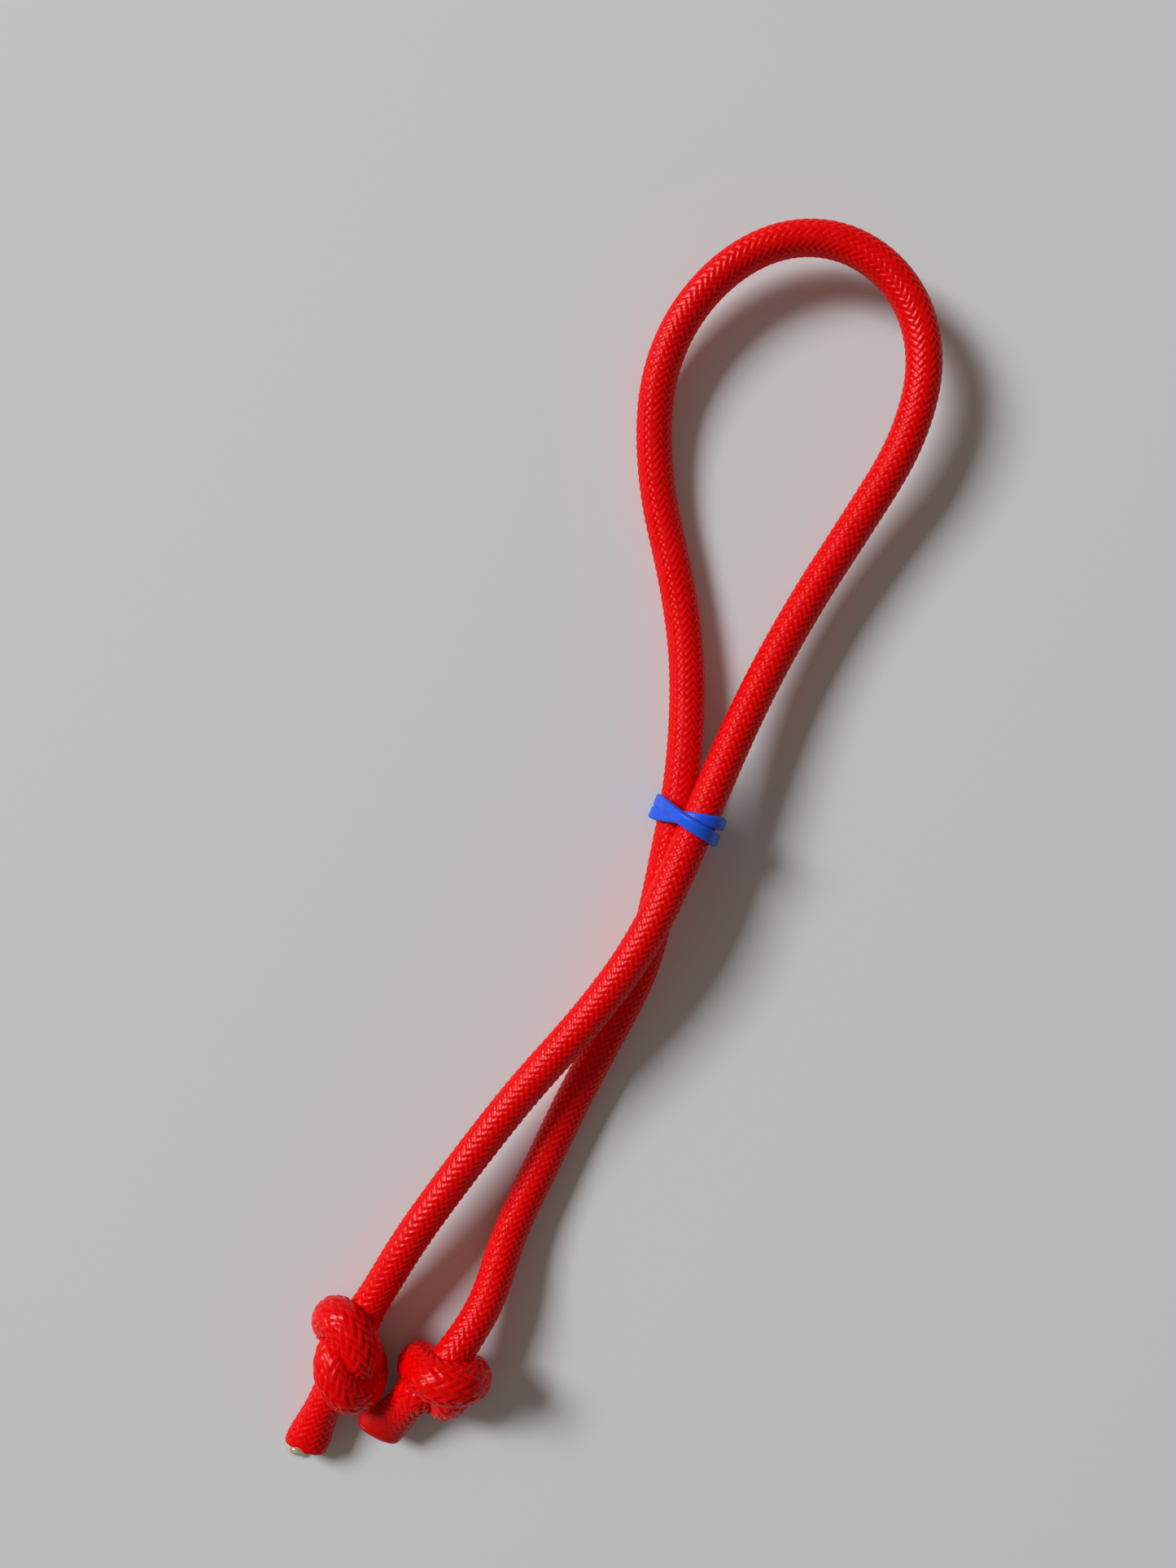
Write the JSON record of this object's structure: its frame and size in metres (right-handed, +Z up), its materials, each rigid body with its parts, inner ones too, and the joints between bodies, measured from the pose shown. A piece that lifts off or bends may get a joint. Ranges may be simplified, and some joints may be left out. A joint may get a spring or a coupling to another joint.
{
  "type": "doubled cord hand loop",
  "caption": "Short braided cord doubled into a hand loop, with a stopper knot in each end and a rubber band wound round both legs.",
  "frame": {"origin": "middle of the object's box, on the surface it lies on", "axes": "+Y along the doubled cord from the knots to the loop end, +X to the right, +Z up from the surface"},
  "size_m": [0.0333, 0.1566, 0.0116],
  "materials": {
    "red_braid": "braided nylon filament, soft sheen",
    "core_nylon": "white twisted nylon yarn",
    "clear_melt": "translucent melted nylon bead",
    "red_melt": "melted and set red nylon",
    "blue_rubber": "satin rubber strip"
  },
  "bodies": {
    "cord": {"cord_sheath": "red_braid", "core_yarn_1": "core_nylon", "core_yarn_2": "core_nylon", "core_yarn_3": "core_nylon", "core_yarn_4": "core_nylon", "core_yarn_5": "core_nylon", "core_yarn_6": "core_nylon", "core_yarn_7": "core_nylon", "left_tip_clear_bead": "clear_melt", "right_tip_red_seal": "red_melt"},
    "band": {"rubber_band": "blue_rubber"}
  },
  "joints": [
    {"name": "band_slide", "type": "slide", "parent": "cord", "child": "band", "axis": [0, 1, 0], "range_m": [-0.003, 0]}
  ]
}
